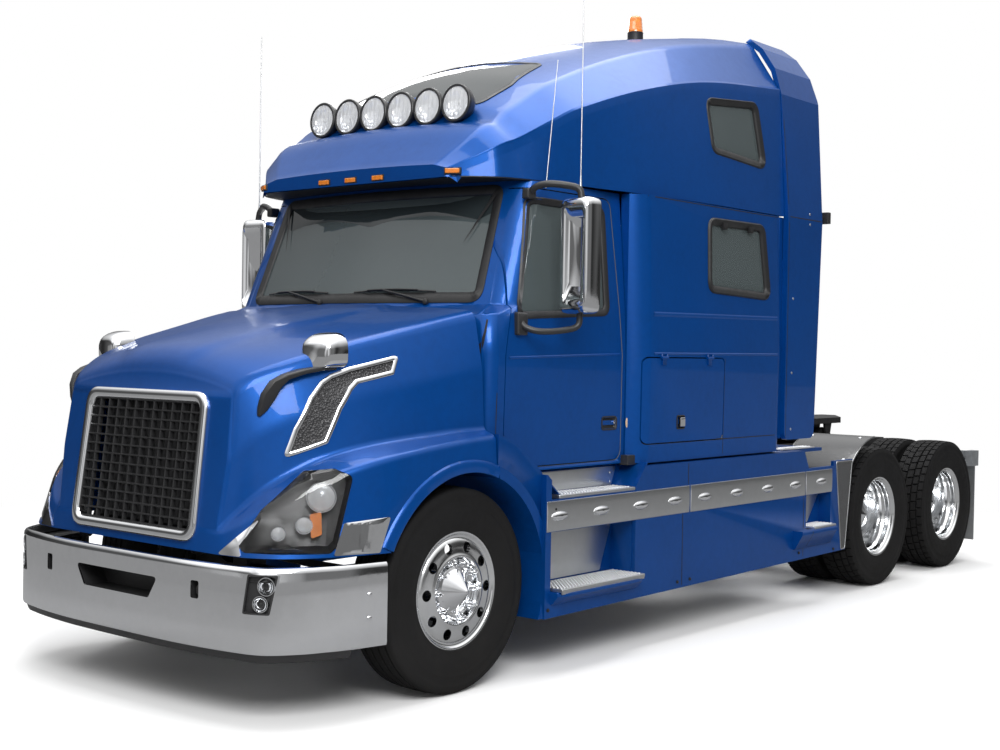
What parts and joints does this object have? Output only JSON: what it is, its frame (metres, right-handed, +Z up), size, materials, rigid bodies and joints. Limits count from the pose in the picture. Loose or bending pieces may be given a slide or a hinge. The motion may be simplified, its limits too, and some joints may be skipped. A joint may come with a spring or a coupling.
{
  "type": "semi truck tractor unit",
  "caption": "Conventional long-haul tractor unit with tilting hood, opening doors, raised-roof sleeper, steered front axle, tandem drive axles with twin wheels and a tilting fifth wheel",
  "frame": {"origin": "on the ground below the middle of the whole truck's box", "axes": "+Z up, the truck faces -Y, its left side is +X"},
  "size_m": [2.8244, 7.838, 4.13],
  "materials": {
    "frame_black": "satin black",
    "cast": "rough cast, painted black",
    "wheel_metal": "polished",
    "blue_paint": "metallic clear coat gloss",
    "blue_trim_paint": "metallic clear coat gloss",
    "glass": "tinted",
    "interior_grey": "fine grain",
    "seat_fabric": "woven",
    "black_plastic": "fine grain",
    "stainless": "brushed and polished",
    "tread_metal": "satin with grip pattern",
    "chrome": "mirror bright",
    "lamp_lens": "clear lens",
    "grey_plastic": "fine grain",
    "flap_rubber": "matte grey",
    "amber_lens": "clear amber",
    "grille_black": "satin black",
    "tyre": "matte rubber"
  },
  "bodies": {
    "chassis": {"ladder_frame": "frame_black", "engine": "cast", "radiator": "frame_black", "front_axle": "cast", "drive_axles": "cast", "drive_suspension": "frame_black", "fuel_tanks": "wheel_metal", "cab_body": "blue_paint", "sleeper_body": "blue_paint", "roof_cap": "blue_paint", "side_extenders": "blue_trim_paint", "fixed_glass": "glass", "dashboard": "interior_grey", "seats": "seat_fabric", "steering_wheel": "black_plastic", "side_fairings": "blue_trim_paint", "fairing_trim": "stainless", "cab_steps": "tread_metal", "bumper": "chrome", "fog_lamps": "lamp_lens", "quarter_fenders": "grey_plastic", "mudflaps": "flap_rubber", "deck_plate": "tread_metal", "roof_lamps": "lamp_lens", "marker_lamps": "amber_lens", "beacon": "amber_lens", "wipers": "black_plastic", "fifth_wheel_base": "cast", "cab_mounts": "flap_rubber"},
    "hood": {"hood": "blue_paint", "grille_surround": "chrome", "grille_mesh": "grille_black", "headlamps": "lamp_lens", "side_vents": "grille_black", "hood_mirrors": "chrome"},
    "door_left": {"door_left": "blue_paint", "door_glass_left": "glass", "door_mirror_left": "chrome"},
    "door_right": {"door_right": "blue_paint", "door_glass_right": "glass", "door_mirror_right": "chrome"},
    "baggage_left": {"baggage_door_left": "blue_paint"},
    "baggage_right": {"baggage_door_right": "blue_paint"},
    "knuckle_left": {"knuckle_left": "cast"},
    "knuckle_right": {"knuckle_right": "cast"},
    "tie_rod": {"tie_rod": "cast"},
    "fifth_wheel": {"fifth_wheel": "cast"},
    "front_wheel_left": {"front_tyre_left": "tyre", "front_rim_left": "wheel_metal"},
    "drive1_wheel_left": {"drive1_tyres_left": "tyre", "drive1_rims_left": "wheel_metal"},
    "drive2_wheel_left": {"drive2_tyres_left": "tyre", "drive2_rims_left": "wheel_metal"},
    "front_wheel_right": {"front_tyre_right": "tyre", "front_rim_right": "wheel_metal"},
    "drive1_wheel_right": {"drive1_tyres_right": "tyre", "drive1_rims_right": "wheel_metal"},
    "drive2_wheel_right": {"drive2_tyres_right": "tyre", "drive2_rims_right": "wheel_metal"}
  },
  "joints": [
    {"name": "hood_tilt", "type": "hinge", "parent": "chassis", "child": "hood", "pos_m": [0, -3.769, 0.752], "axis": [1, 0, 0], "range_deg": [0, 62]},
    {"name": "door_left_swing", "type": "hinge", "parent": "chassis", "child": "door_left", "pos_m": [1.114, -2.275, 1.9], "axis": [0, 0, -1], "range_deg": [0, 70]},
    {"name": "baggage_left_lift", "type": "hinge", "parent": "chassis", "child": "baggage_left", "pos_m": [1.209, -0.704, 1.6935], "axis": [0, -1, 0], "range_deg": [0, 85]},
    {"name": "steer_left", "type": "hinge", "parent": "chassis", "child": "knuckle_left", "pos_m": [0.858, -2.699, 0.518], "axis": [0, 0, 1], "range_deg": [-35, 35]},
    {"name": "front_wheel_left_roll", "type": "hinge", "parent": "knuckle_left", "child": "front_wheel_left", "pos_m": [1.026, -2.699, 0.518], "axis": [1, 0, 0], "continuous": true},
    {"name": "door_right_swing", "type": "hinge", "parent": "chassis", "child": "door_right", "pos_m": [-1.114, -2.275, 1.9], "axis": [0, 0, 1], "range_deg": [0, 70]},
    {"name": "baggage_right_lift", "type": "hinge", "parent": "chassis", "child": "baggage_right", "pos_m": [-1.209, -0.704, 1.6935], "axis": [0, 1, 0], "range_deg": [0, 85]},
    {"name": "steer_right", "type": "hinge", "parent": "chassis", "child": "knuckle_right", "pos_m": [-0.858, -2.699, 0.518], "axis": [0, 0, 1], "range_deg": [-35, 35]},
    {"name": "front_wheel_right_roll", "type": "hinge", "parent": "knuckle_right", "child": "front_wheel_right", "pos_m": [-1.026, -2.699, 0.518], "axis": [1, 0, 0], "continuous": true},
    {"name": "tie_rod_turn", "type": "hinge", "parent": "knuckle_left", "child": "tie_rod", "pos_m": [0.858, -2.509, 0.362], "axis": [0, 0, 1], "range_deg": [-35, 35]},
    {"name": "drive1_wheel_left_roll", "type": "hinge", "parent": "chassis", "child": "drive1_wheel_left", "pos_m": [0.918, 2.0125, 0.518], "axis": [1, 0, 0], "continuous": true},
    {"name": "drive1_wheel_right_roll", "type": "hinge", "parent": "chassis", "child": "drive1_wheel_right", "pos_m": [-0.918, 2.0125, 0.518], "axis": [1, 0, 0], "continuous": true},
    {"name": "drive2_wheel_left_roll", "type": "hinge", "parent": "chassis", "child": "drive2_wheel_left", "pos_m": [0.918, 3.2855, 0.518], "axis": [1, 0, 0], "continuous": true},
    {"name": "drive2_wheel_right_roll", "type": "hinge", "parent": "chassis", "child": "drive2_wheel_right", "pos_m": [-0.918, 3.2855, 0.518], "axis": [1, 0, 0], "continuous": true},
    {"name": "fifth_wheel_tilt", "type": "hinge", "parent": "chassis", "child": "fifth_wheel", "pos_m": [0, 2.631, 1.102], "axis": [1, 0, 0], "range_deg": [-11, 11]}
  ],
  "couplings": [
    {"joint": "steer_right", "follows": "steer_left", "ratio": 1},
    {"joint": "tie_rod_turn", "follows": "steer_left", "ratio": -1}
  ]
}
